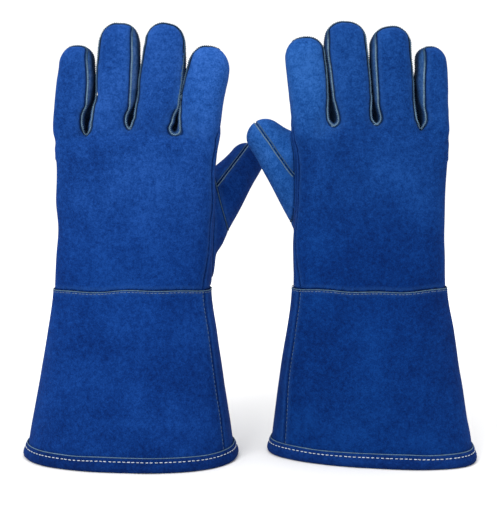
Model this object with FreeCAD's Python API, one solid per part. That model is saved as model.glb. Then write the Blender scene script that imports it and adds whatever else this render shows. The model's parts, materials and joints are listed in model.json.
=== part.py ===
"""A pair of lined split-leather welding gauntlets, standing upright on their cuffs.

Each glove is sewn from flat leather pieces: a back panel and a palm panel with the four finger
stalls, three fourchettes between the fingers, a thumb of two halves on a wing, a flared cuff of two
panels with a bound hem, welts in the wrist and cuff seams, and a lining of its own in every part.
The glove bends at the wrist seam, the finger stalls at their middle joint and the thumb at its
knuckle. The leather is parted at each bend, and the wedge taken out there is the room that it folds
into: on both sides at the wrist, on the palm side only in the stalls and the thumb.

Frame: +Z up, the backs of the hands face -Y, the palms face +Y, the left glove is at -X. The origin
is on the floor under the middle of the pair. Millimetres.
"""

import FreeCAD
import Part
import math
import os
from FreeCAD import Placement, Rotation, Vector

os.makedirs("parts", exist_ok=True)

# Plies of the wall, from outside to inside.
LEATHER = 1.6
PLY_GAP = 0.2
LINING = 1.2
LINING_OUT = LEATHER + PLY_GAP
LINING_IN = LINING_OUT + LINING

# Heights.
HEM_TOP = 10.5
HEM_FLOOR = 3.0
WRIST = 134.0
WELT = 1.2
CROTCH = 264.0
MITTEN_TOP = 306.0

# Cuff and hem, half sizes across and through the cuff.
WRIST_DEPTH = 27.0
HEM_DEPTH = 43.0
HEM_PROUD = 2.2
WELT_PROUD = 0.5
BINDING_SLACK = 0.1
CORNER_MARGIN = 1.6
SEAM_SWING_CUFF = 16.0
SEAM_SWING_HAND = 9.0

# Finger stalls.
KNUCKLE_UP = 26.0
HALF_THICK = 14.0
TIP_CORNER = 13.5
EDGE_ROUND = 10.0
FOURCHETTE_HALF = 6.0
SLOT_HALF = 1.5

# Thumb.
THUMB_ROOT_RADIUS = 18.0
THUMB_TIP_RADIUS = 14.2
THUMB_BURIED = 22.0
THUMB_KNUCKLE = 0.5
THUMB_SWING = Vector(-0.6, 0.8, 0.0)

# Bends, in degrees, and the room that they need.
WRIST_BEND = 20.0
FINGER_BEND = 60.0
THUMB_BEND = 40.0
HINGE_GAP = 0.4
WEDGE_SPARE = 1.0
SWEEP_STEPS = 4

FAR = 200.0
BODY_DEPTH = 80.0

# All "across" values run from the middle of the hand towards the thumb. A stall has its centre at
# the crotch line, its width, its lean towards the thumb in degrees, and the height of its tip. A slot
# is the gap below the stall that it is named by: its place, the height of its round end, its lean.
GLOVES = {
    "left": {
        "centre": Vector(-93.6, -14.3, 0.0),
        "mirrored": False,
        "hem": {"half": 84.5, "shift": -3.0, "turn": -3.0},
        "wrist": {"half": 63.5, "shift": -2.0},
        "palm": {"half": 65.0, "shift": 0.0},
        "knuckles": {"half": 67.0, "shift": 2.0},
        "stalls": {
            "index": (51.6, 33.5, 8.0, 333.0),
            "middle": (15.6, 34.0, 7.0, 352.0),
            "ring": (-20.0, 32.5, 6.0, 352.0),
            "little": (-52.3, 27.5, 4.5, 333.0),
        },
        "slots": {"index": (33.8, 262.0, 8.0), "middle": (-2.3, 266.0, 7.0), "ring": (-37.2, 263.0, 6.0)},
        "thumb": (Vector(56.0, 20.0, 180.0), Vector(92.0, 66.0, 241.5)),
    },
    "right": {
        "centre": Vector(99.4, -14.3, 0.0),
        "mirrored": True,
        "hem": {"half": 82.0, "shift": 0.0, "turn": 9.0},
        "wrist": {"half": 62.5, "shift": 1.0},
        "palm": {"half": 61.0, "shift": 1.5},
        "knuckles": {"half": 63.0, "shift": 1.0},
        "stalls": {
            "index": (46.9, 31.5, 6.7, 340.0),
            "middle": (13.3, 31.6, 5.2, 353.0),
            "ring": (-21.9, 33.2, 4.8, 349.0),
            "little": (-52.2, 23.5, 3.6, 332.0),
        },
        "slots": {"index": (30.1, 267.0, 6.0), "middle": (-3.9, 268.5, 5.0), "ring": (-39.5, 265.5, 4.2)},
        "thumb": (Vector(47.5, 21.0, 192.0), Vector(86.0, 20.0, 259.0)),
    },
}


def oval(half_across, half_deep, z, shift=0.0, turn=0.0):
    """A rounded rectangle, nearly a stadium, as a closed wire of four lines and four arcs."""
    radius = half_deep - CORNER_MARGIN
    x, y = half_across - radius, half_deep - radius
    edges = []
    for quarter, (cx, cy) in enumerate([(x, y), (-x, y), (-x, -y), (x, -y)]):
        middle = Vector(cx, cy, 0)
        spokes = [math.radians(90 * quarter + a) for a in (0, 45, 90)]
        arc = [middle + Vector(math.cos(a), math.sin(a), 0) * radius for a in spokes]
        if edges:
            edges.append(Part.makeLine(last, arc[0]))
        else:
            first = arc[0]
        edges.append(Part.Arc(*arc).toShape())
        last = arc[2]
    edges.append(Part.makeLine(last, first))
    wire = Part.Wire(edges)
    wire.Placement = Placement(Vector(shift, 0, z), Rotation(Vector(0, 0, 1), turn))
    return wire


def loft(sections, inset=0.0):
    """Ruled solid through oval sections (z, half_across, half_deep, shift, turn), each inset evenly."""
    wires = [oval(a - inset, d - inset, z, s, t) for z, a, d, s, t in sections]
    return Part.makeLoft(wires, True, True)


def cuff_section(glove, z, proud=0.0):
    """The cuff's outer section at height z. It widens evenly and turns a little towards the hem."""
    share = (WRIST - z) / WRIST
    hem, wrist = glove["hem"], glove["wrist"]
    across = wrist["half"] + share * (hem["half"] - wrist["half"])
    deep = WRIST_DEPTH + share * (HEM_DEPTH - WRIST_DEPTH)
    shift = wrist["shift"] + share * (hem["shift"] - wrist["shift"])
    return (z, across + proud, deep + proud, shift, share * hem["turn"])


def hand_sections(glove):
    """Outer sections of the hand, from the wrist to above the crotches, as one mitten."""
    wrist, palm, knuckles = glove["wrist"], glove["palm"], glove["knuckles"]
    rise = (MITTEN_TOP - CROTCH) * math.tan(math.radians(glove["stalls"]["middle"][2]))
    return [
        (WRIST, wrist["half"], WRIST_DEPTH, wrist["shift"], 0.0),
        (200.0, palm["half"], 24.0, palm["shift"], 0.0),
        (CROTCH - 4.0, knuckles["half"], 17.0, knuckles["shift"], 0.0),
        (MITTEN_TOP, knuckles["half"], HALF_THICK, knuckles["shift"] + rise, 0.0),
    ]


def half_space(swing, half_across, back):
    """The block on the back (-Y) or palm (+Y) side of a seam plane that stands upright and swings
    round so that it meets the thumb side nearer the back of the hand."""
    size = 2 * FAR
    corner = Vector(-FAR, -size if back else 0, -FAR / 2)
    block = Part.makeBox(size, size, 1.5 * size, corner)
    block.rotate(Vector(0, 0, 0), Vector(0, 0, 1), -math.degrees(math.atan2(swing, half_across)))
    return block


def slot_tool(glove, name, grow=0.0):
    """The gap between two stalls: round at the crotch, open at the top, straight through the hand."""
    across, bottom, lean = glove["slots"][name]
    half = SLOT_HALF + grow
    tall = FAR / 2
    pad = Part.makeBox(2 * half, BODY_DEPTH, tall, Vector(-half, -BODY_DEPTH / 2, 0))
    end = Part.makeCylinder(half, BODY_DEPTH, Vector(0, -BODY_DEPTH / 2, 0), Vector(0, 1, 0))
    tool = pad.fuse(end).removeSplitter()
    place = Vector(across, 0, bottom + SLOT_HALF)
    tool.Placement = Placement(place, Rotation(Vector(0, 1, 0), lean))
    return tool


def bend_cut(bends, upper, ply=0.0):
    """What a bend takes out of the part above or below its hinge, in the hinge's frame (x along the
    hinge, y towards the palm): the other part's side, a gap, and a wedge for each way it bends.
    Bends are the ranges towards the back and towards the palm. Ply is an extra depth."""
    side = -1 if upper else 1
    back, palm = [BODY_DEPTH * math.tan(math.radians(b / 2 + WEDGE_SPARE)) if b else 0.0 for b in bends]
    edge = [(-BODY_DEPTH, back), (0, 0), (BODY_DEPTH, palm)]
    corners = [(y, -side * (HINGE_GAP + ply + rise)) for y, rise in edge]
    corners += [(BODY_DEPTH, side * FAR), (-BODY_DEPTH, side * FAR)]
    points = [Vector(-BODY_DEPTH, y, z) for y, z in corners]
    face = Part.Face(Part.makePolygon(points + points[:1]))
    return face.extrude(Vector(2 * BODY_DEPTH, 0, 0))


def stall_cut(width):
    """The bend's cut limited to one stall, for the lower halves, which are joined to each other."""
    limit = Part.makeBox(width, 2 * BODY_DEPTH, 2 * FAR, Vector(-width / 2, -BODY_DEPTH, -FAR))
    return bend_cut((0, FINGER_BEND), False).common(limit)


def slab(half, top, inset=0.0):
    """A stall's upper half as a solid in the hinge's frame, with a round tip and rounded edges. It
    reaches below the hinge, where the bend's cut trims it."""
    low = -EDGE_ROUND - 2.0
    half, top, deep = half - inset, top - inset, HALF_THICK - inset
    block = Part.makeBox(2 * half, 2 * deep, top - low, Vector(-half, -deep, low))
    upright = [e for e in block.Edges if e.BoundBox.YLength > deep and e.BoundBox.ZMin > top - 1]
    block = block.makeFillet(min(TIP_CORNER - inset, half - 0.5), upright)
    rim = [e for e in block.Edges if e.BoundBox.YLength < 0.01 and e.BoundBox.ZMax > low + 1]
    return block.makeFillet(EDGE_ROUND - inset, rim)


def stall_frame(glove, name):
    """Placement of a stall's hinge: on the stall's axis, KNUCKLE_UP above the crotch line."""
    across, _, lean, _ = glove["stalls"][name]
    angle = math.radians(lean)
    hinge = Vector(across, 0, CROTCH) + Vector(math.sin(angle), 0, math.cos(angle)) * KNUCKLE_UP
    return Placement(hinge, Rotation(Vector(0, 1, 0), lean))


def wrist_frame(glove):
    return Placement(Vector(glove["wrist"]["shift"], 0, WRIST), Rotation())


def thumb_frames(glove):
    """Placements at the thumb's knuckle, z along the thumb: one with y the way it bends, one with
    x square to the seam plane, which stands front to back. Also the length up to the tip's centre."""
    root, tip = glove["thumb"]
    along = tip - root
    length = along.Length
    axis = along.normalize()
    hinge = root + axis * (THUMB_KNUCKLE * length)
    swing = (THUMB_SWING - axis * THUMB_SWING.dot(axis)).normalize()
    bend = Placement(hinge, Rotation(swing.cross(axis), swing, axis, "ZYX"))
    square = axis.cross(Vector(0, 1, 0)).normalize()
    seam = Placement(hinge, Rotation(square, axis.cross(square), axis, "ZXY"))
    return bend, seam, length


def thumb_solid(length, inset=0.0):
    """The whole thumb as one turned solid in the knuckle's frame, root buried in the hand."""
    low = -THUMB_KNUCKLE * length - THUMB_BURIED
    high = (1 - THUMB_KNUCKLE) * length
    root, tip = THUMB_ROOT_RADIUS - inset, THUMB_TIP_RADIUS - inset
    quarter = tip * math.sqrt(0.5)
    dome = Part.Arc(Vector(tip, 0, high), Vector(quarter, 0, high + quarter), Vector(0, 0, high + tip))
    side = Part.makePolygon([Vector(0, 0, low), Vector(root, 0, low), Vector(tip, 0, high)])
    axis = Part.makeLine(Vector(0, 0, high + tip), Vector(0, 0, low))
    wire = Part.Wire(side.Edges + [dome.toShape(), axis])
    return Part.Face(wire).revolve(Vector(0, 0, 0), Vector(0, 0, 1), 360)


def placed(shape, placement):
    copy = shape.copy()
    copy.Placement = placement.multiply(copy.Placement)
    return copy


def clear_thumb(shape, glove):
    """Takes out the room that the thumb above its knuckle needs as it bends, in steps of a few degrees."""
    bend, _, length = thumb_frames(glove)
    upper = thumb_solid(length, -HINGE_GAP).cut(bend_cut((0, THUMB_BEND), True))
    for step in range(SWEEP_STEPS + 1):
        turn = Rotation(Vector(1, 0, 0), -THUMB_BEND * step / SWEEP_STEPS)
        tool = placed(upper, bend.multiply(Placement(Vector(0, 0, 0), turn)))
        if tool.common(shape).Volume > 0:
            shape = shape.cut(tool)
    return shape


def make_cuff(glove):
    """Cuff panels, their side welt, the cuff lining, the wrist welt and the hem's binding."""
    bends = (WRIST_BEND, WRIST_BEND)
    above = placed(bend_cut(bends, False), wrist_frame(glove))
    above_panels = placed(bend_cut(bends, False, WELT), wrist_frame(glove))
    body = [cuff_section(glove, HEM_FLOOR), cuff_section(glove, WRIST)]
    leather = loft(body).cut(loft(body, LEATHER)).cut(above_panels)
    lining = loft(body, LINING_OUT).cut(loft(body, LINING_IN)).cut(above)

    half = glove["wrist"]["half"]
    back_side = half_space(SEAM_SWING_CUFF, half, True)
    strip = Part.makeBox(FAR, WELT, FAR, Vector(0, -WELT / 2, 0))
    strip.rotate(Vector(0, 0, 0), Vector(0, 0, 1), -math.degrees(math.atan2(SEAM_SWING_CUFF, half)))
    open_leather = leather.cut(strip)

    ring = loft(body, -WELT_PROUD).cut(loft(body, LEATHER))
    wrist_welt = ring.common(above_panels).cut(above)

    hem = [cuff_section(glove, 0.0, HEM_PROUD), cuff_section(glove, HEM_TOP, HEM_PROUD)]
    channel = [cuff_section(glove, HEM_FLOOR, BINDING_SLACK), cuff_section(glove, HEM_TOP, BINDING_SLACK)]
    gripped = loft(channel).cut(loft(channel, LINING_IN + 2 * BINDING_SLACK))
    binding = loft(hem).cut(loft(hem, HEM_PROUD + LINING_IN + LEATHER)).cut(gripped)
    return {
        "cuff_back_panel": open_leather.common(back_side),
        "cuff_palm_panel": open_leather.cut(back_side),
        "cuff_side_welt": leather.common(strip),
        "cuff_lining": lining,
        "wrist_welt": wrist_welt,
        "hem_binding": binding,
    }


def make_hand(glove):
    """Back and palm panels with the stalls' lower halves, fourchettes, thumb wing and hand lining."""
    sections = hand_sections(glove)
    outer, inner = loft(sections), loft(sections, LEATHER)
    bend, _, length = thumb_frames(glove)
    thumb_outer = placed(thumb_solid(length), bend)
    thumb_inner = placed(thumb_solid(length, LEATHER), bend)

    wrist_below = placed(bend_cut((WRIST_BEND, WRIST_BEND), True), wrist_frame(glove))
    fingers_above = []
    for name, (_, width, _, _) in glove["stalls"].items():
        fingers_above.append(placed(stall_cut(width + 2 * SLOT_HALF), stall_frame(glove, name)))
    thumb_above = placed(bend_cut((0, THUMB_BEND), False), bend)

    slots = [slot_tool(glove, name) for name in glove["slots"]]
    skin = outer.cut(inner).cut(slots + fingers_above + [thumb_outer, wrist_below])
    skin = clear_thumb(skin, glove)
    back_side = half_space(SEAM_SWING_HAND, glove["palm"]["half"], True)

    fourchettes = []
    for name in glove["slots"]:
        band = slot_tool(glove, name, LEATHER).cut(slot_tool(glove, name))
        fourchettes.append(band.common(inner).cut(fingers_above))

    wing = thumb_outer.cut(thumb_inner).cut([outer, thumb_above])

    lining_slots = [slot_tool(glove, name, LINING_OUT) for name in glove["slots"]]
    cavity_slots = [slot_tool(glove, name, LINING_IN) for name in glove["slots"]]
    thumb_lined = placed(thumb_solid(length, LINING_OUT), bend).cut(thumb_above)
    thumb_cavity = placed(thumb_solid(length, LINING_IN), bend)
    filled = loft(sections, LINING_OUT).fuse(thumb_lined).cut(lining_slots)
    hollow = loft(sections, LINING_IN).fuse(thumb_cavity).cut(cavity_slots)
    lining = clear_thumb(filled.cut(hollow).cut(fingers_above + [wrist_below]), glove)
    return {
        "back_panel": skin.common(back_side),
        "palm_panel": skin.cut(back_side),
        "fourchettes": Part.makeCompound([s for f in fourchettes for s in f.Solids]),
        "thumb_wing": wing,
        "hand_lining": lining,
    }


def make_finger(glove, name):
    """A stall's upper half: back, palm, the strip that runs round its sides and tip, and lining."""
    _, width, lean, tip = glove["stalls"][name]
    frame = stall_frame(glove, name)
    top = (tip - frame.Base.z) / math.cos(math.radians(lean))
    below = bend_cut((0, FINGER_BEND), True)
    shell = slab(width / 2, top).cut(slab(width / 2, top, LEATHER)).cut(below)
    lining = slab(width / 2, top, LINING_OUT).cut(slab(width / 2, top, LINING_IN)).cut(below)
    size = Vector(BODY_DEPTH, 2 * FOURCHETTE_HALF, FAR)
    middle = Part.makeBox(size.x, size.y, size.z, size * -0.5)
    back = middle.translated(Vector(0, -size.y, 0))
    palm = middle.translated(Vector(0, size.y, 0))
    pieces = {
        "back": shell.common(back),
        "palm": shell.common(palm),
        "sides": shell.common(middle),
        "lining": lining,
    }
    return {f"{name}_{piece}": placed(shape, frame) for piece, shape in pieces.items()}


def make_thumb(glove):
    """The thumb above its knuckle: an outer and an inner half, and its lining."""
    bend, seam, length = thumb_frames(glove)
    below = placed(bend_cut((0, THUMB_BEND), True), bend)
    shell = placed(thumb_solid(length).cut(thumb_solid(length, LEATHER)), bend).cut(below)
    lining = placed(thumb_solid(length, LINING_OUT).cut(thumb_solid(length, LINING_IN)), bend)
    block = Part.makeBox(FAR, 2 * FAR, 2 * FAR, Vector(0, -FAR, -FAR))
    index_side = placed(block, seam)
    return {
        "thumb_outer": shell.cut(index_side),
        "thumb_inner": shell.common(index_side),
        "thumb_lining": lining.cut(below),
    }


def stand(shape, glove):
    """Moves a finished piece from the glove's own frame to its place in the pair."""
    if glove["mirrored"]:
        shape = shape.mirror(Vector(0, 0, 0), Vector(1, 0, 0))
    return shape.translated(glove["centre"])


def make_glove(glove):
    pieces = {**make_cuff(glove), **make_hand(glove), **make_thumb(glove)}
    for name in glove["stalls"]:
        pieces.update(make_finger(glove, name))
    return {name: stand(shape, glove) for name, shape in pieces.items()}


def report_solids(node, shape):
    solids = shape.Solids
    volume = sum(s.Volume for s in solids)
    print(f"{node:28s} solids {len(solids)} valid {shape.isValid()} volume {volume:9.1f}")


for side, glove in GLOVES.items():
    for name, shape in make_glove(glove).items():
        node = f"{side}_{name}"
        solids = Part.makeCompound(shape.Solids) if len(shape.Solids) > 1 else shape.Solids[0]
        report_solids(node, solids)
        solids.exportStep(f"parts/{node}.step")
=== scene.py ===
"""Looks of a pair of split-leather welding gauntlets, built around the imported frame.

Each glove starts as one smooth skin: the rounded sections of cuff and hand, four finger stalls and a
thumb, joined softly. The skin is meshed, its seams are pressed in, and it is cut along them into the
leather pieces. Welts, threads, the hem's binding and the lining are made to fit it.

A glove is worked out in its own frame, in millimetres: x across the hand towards the thumb, y from
the back of the hand to the palm, z up from the floor. The wrist joint says where that frame stands.
"""

import json
import math

import bpy
import numpy as np
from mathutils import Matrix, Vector


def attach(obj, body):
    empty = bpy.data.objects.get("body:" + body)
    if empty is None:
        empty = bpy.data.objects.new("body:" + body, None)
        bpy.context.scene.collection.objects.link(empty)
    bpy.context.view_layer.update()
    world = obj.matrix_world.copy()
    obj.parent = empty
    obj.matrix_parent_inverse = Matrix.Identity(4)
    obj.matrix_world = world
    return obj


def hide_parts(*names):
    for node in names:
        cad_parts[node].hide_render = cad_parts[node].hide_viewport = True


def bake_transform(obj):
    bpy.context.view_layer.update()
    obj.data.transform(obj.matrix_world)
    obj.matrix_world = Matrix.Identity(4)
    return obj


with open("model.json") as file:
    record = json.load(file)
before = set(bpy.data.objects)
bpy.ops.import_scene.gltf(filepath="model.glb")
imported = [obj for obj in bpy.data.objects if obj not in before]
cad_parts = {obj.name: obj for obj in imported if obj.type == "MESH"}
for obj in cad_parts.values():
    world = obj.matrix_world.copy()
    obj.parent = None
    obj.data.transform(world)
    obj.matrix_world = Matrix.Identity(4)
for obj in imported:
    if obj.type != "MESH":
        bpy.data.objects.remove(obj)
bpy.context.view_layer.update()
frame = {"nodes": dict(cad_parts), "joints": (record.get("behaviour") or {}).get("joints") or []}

GRID = 1.3
LINING_GRID = 3.2
LINING_INSET = 3.3            # the lining's inner face lies this far inside the leather's outer face
WRIST = 134.0                 # the height at which the wrist bends
CUFF_TOP = 137.3              # the wrist seam's height
WRIST_BEND = (112.0, 156.0)   # the leather would bend between these heights; rig works them out but bends nothing
FINGERS = ("index", "middle", "ring", "little")

# Sections of the body: height, half across, half deep, shift, turn in degrees, squareness.
# The thumb is a chain of balls (x, y, z, radius), with more chains for its shoulder and web. Its two
# seams stand front to back, each through a point (x, z) and square to a direction (x, z).
# A stall's numbers: how much fuller it is than its CAD width, low and high, towards the thumb and then
# towards the little finger; how far its tip rises towards the thumb; how much of its side strip shows
# from the front on those two sides; and how far it stands back from its neighbours at the crotch.
# Web: the height of the crotch on the little finger's side of a stall.
# Then how much paler the leather is painted on the fingers, the index finger and the thumb; on the fingers it
# is painted light from above, paler towards the fingertips.
# Hem slope: how steeply the cuff's side seam lies towards the back of the hand at the hem.
# Thumb bend: the direction away from the thumb's hinge along which the leather would start and end
# bending, and how far along that is; rig works this out but bends nothing.
GLOVES = {
    "left": {
        "mirror": 1.0,
        "wrist_shift": -2.0,
        "body": [
            (-20, 87.9, 50.4, -2.8, -6.4, 2.3),
            (0, 85.2, 48.4, -2.6, -5.6, 2.35),
            (60, 75.0, 39.0, -1.5, -3.0, 2.45),
            (100, 68.7, 32.5, -1.1, -1.0, 2.55),
            (134, 63.6, 27.5, -1.1, 0.0, 2.7),
            (160, 62.2, 26.5, 0.2, 0.0, 2.8),
            (183, 61.8, 25.2, 1.6, 0.0, 2.85),
            (208, 63.6, 23.2, 2.0, 0.0, 2.9),
            (240, 64.8, 19.6, 2.0, 0.0, 3.0),
            (262, 66.8, 17.0, 2.8, 0.0, 3.0),
            (310, 67.0, 15.0, 8.0, 0.0, 3.0),
        ],
        "thumb": [
            ((56.0, 20.0, 179.0, 18.5), (92.0, 66.0, 239.4, 13.9)),
            ((68.0, 46.0, 213.0, 18.0), (90.0, 64.0, 239.0, 13.6)),
            ((47.5, 10.0, 152.0, 16.5), (51.0, 14.0, 172.0, 17.0)),
        ],
        "thumb_seam": ((66.4, 218.2), (0.791, -0.611)),
        "wing_seam": ((66.4, 218.7), (0.96, 0.28)),
        "stalls": {
            "index": ((0.8, 4.8), (0.4, -3.6), -0.2, (-1.0, 1.0), (0.0, -0.6)),
            "middle": ((5.5, 2.8), (-0.6, -2.0), 0.8, (0.6, 1.0), (-2.0, 1.2)),
            "ring": ((5.2, 3.6), (-3.0, -2.0), 2.0, (6.4, 1.0), (1.0, 0.8)),
            "little": ((4.8, 4.4), (-1.2, -2.2), 3.0, (5.0, -1.0), (0.6, 0.0)),
        },
        "web": {"index": 264.5, "middle": 266.0, "ring": 263.0},
        "worn": (0.46, 0.95, 0.0),
        "hem_slope": 0.35,
        "thumb_bend": ((0.97, 0.0, 0.24), -3.0, 17.0),
    },
    "right": {
        "mirror": -1.0,
        "wrist_shift": 1.0,
        "body": [
            (-20, 85.0, 39.4, -0.6, 12.0, 2.3),
            (0, 82.6, 37.3, -0.4, 11.2, 2.35),
            (60, 74.7, 34.5, 0.3, 6.0, 2.45),
            (100, 68.3, 31.0, 0.8, 2.8, 2.55),
            (134, 62.7, 27.5, 0.7, 0.0, 2.7),
            (160, 61.6, 26.5, 1.1, 0.0, 2.8),
            (183, 61.0, 25.2, 1.5, 0.0, 2.85),
            (208, 60.2, 23.2, 1.0, 0.0, 2.9),
            (240, 60.9, 19.6, -0.3, 0.0, 3.0),
            (262, 62.7, 17.0, 0.0, 0.0, 3.0),
            (310, 63.0, 15.0, 5.0, 0.0, 3.0),
        ],
        "thumb": [
            ((47.0, 21.0, 193.0, 17.6), (86.0, 20.0, 259.0, 14.2)),
            ((63.5, 20.0, 245.0, 17.0), (85.0, 20.0, 258.5, 14.2)),
        ],
        "thumb_seam": ((58.0, 220.5), (0.819, -0.574)),
        "wing_seam": ((62.0, 214.0), (0.995, 0.094)),
        "stalls": {
            "index": ((0.2, 1.2), (2.0, 2.2), 0.0, (-1.0, 1.4), (0.0, 1.2)),
            "middle": ((2.2, 3.4), (1.6, 0.8), 1.0, (2.8, 1.4), (0.8, 0.8)),
            "ring": ((2.8, 2.2), (-0.6, -1.4), 0.5, (4.6, 1.2), (0.8, 1.0)),
            "little": ((3.4, 1.6), (-0.6, 0.6), 1.6, (6.2, -1.0), (1.4, 0.0)),
        },
        "web": {"index": 271.5, "middle": 270.0, "ring": 266.5},
        "worn": (0.30, 0.72, 0.9),
        "hem_slope": 0.13,
        "thumb_bend": ((0.99, 0.0, -0.04), -3.0, 18.0),
    },
}

BODY_CAP = 15.0               # the body rounds over this far below the crotches
PALM_WEB = 14.0               # how much higher the crotches are on the palm's side
WEB_SOFT = 5.0                # how softly the stalls grow out of the body
THUMB_SOFT = 9.0              # how softly the thumb does
SIDE_SLOPE = 0.25             # how far the side seam leans towards the back of the hand at the wrist
FOURCHETTE = 9.0              # half the width of the strip between the stalls
RING = 2.3                    # how much of the strip shows round a crotch
HINGE_UP = 18.0               # a finger's hinge is this far above the crotches
# Along a stall, from its hinge towards its tip:
STALL_LOW = -48.0             # it begins inside the body
STALL_SPLIT = -22.0           # its leather parts from the hand's
STALL_BEND = 20.0             # its leather would bend from this far before the hinge to this far after it; rig works this out but bends nothing
STALL_NARROWS = (24.0, 46.0)  # below the hinge it narrows between these, so that it stays in the body
# Across a stall:
STALL_DEEP = 14.3             # half its depth
STALL_SQUARE = 2.7            # squareness of its section
TIP_SQUARE = 2.35             # and of its tip
TOUCH = 3.6                   # how much fuller it is where it touches its neighbours


# ---------------------------------------------------------------- numbers

def smooth(x, low, high):
    """Rises softly from 0 at low to 1 at high."""
    t = np.clip((x - low) / (high - low), 0.0, 1.0)
    return t * t * (3.0 - 2.0 * t)


def noise(p, scale, seed):
    """Soft value noise from -1 to 1 at points p."""
    size = 24
    lattice = np.random.default_rng(seed).uniform(-1, 1, (size, size, size))
    q = p / scale
    cell = np.floor(q).astype(int)
    u = q - cell
    u = u * u * (3 - 2 * u)
    total = np.zeros(len(p))
    for dx in (0, 1):
        for dy in (0, 1):
            for dz in (0, 1):
                share = np.abs(1 - dx - u[:, 0]) * np.abs(1 - dy - u[:, 1]) * np.abs(1 - dz - u[:, 2])
                i, j, k = (cell + (dx, dy, dz)).T % size
                total += share * lattice[i, j, k]
    return total


def soft_min(a, b, k):
    """The lower of two fields, rounded over a band of width k where they cross."""
    h = np.maximum(k - np.abs(a - b), 0.0) / k
    return np.minimum(a, b) - h * h * k * 0.25


def unit(v):
    return v / np.maximum(np.linalg.norm(v, axis=-1, keepdims=True), 1e-9)


def pillow(u, v, w, half, deep, cap, n, m):
    """Distance to a rounded block: n is its squareness across, m that of its rounded end w."""
    u, v = np.abs(u) + 1e-6, np.abs(v) + 1e-6
    across = u ** n + v ** n
    value = (across ** (m / n) + w ** m) ** (1.0 / m)
    common = value ** (1.0 - m)
    side = common * across ** (m / n - 1.0)
    slope = np.sqrt((side * u ** (n - 1) / half) ** 2 + (side * v ** (n - 1) / deep) ** 2
                    + (common * w ** (m - 1) / cap) ** 2)
    return (value - 1.0) / np.maximum(slope, 1e-6)


def curve_table(rows):
    """Rows (z, values...) turned into a fine table along z, on a smooth curve through them."""
    rows = np.array(rows, float)
    z, v = rows[:, 0], rows[:, 1:]
    slope = np.gradient(v, z, axis=0)
    fine = np.arange(z[0], z[-1] + 0.5, 1.0)
    i = np.clip(np.searchsorted(z, fine, side="right") - 1, 0, len(z) - 2)
    h = (z[i + 1] - z[i])[:, None]
    t = ((fine - z[i]) / (z[i + 1] - z[i]))[:, None]
    values = ((2 * t**3 - 3 * t**2 + 1) * v[i] + (t**3 - 2 * t**2 + t) * h * slope[i]
              + (3 * t**2 - 2 * t**3) * v[i + 1] + (t**3 - t**2) * h * slope[i + 1])
    return fine, values


# ---------------------------------------------------------------- the skin of a glove

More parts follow.
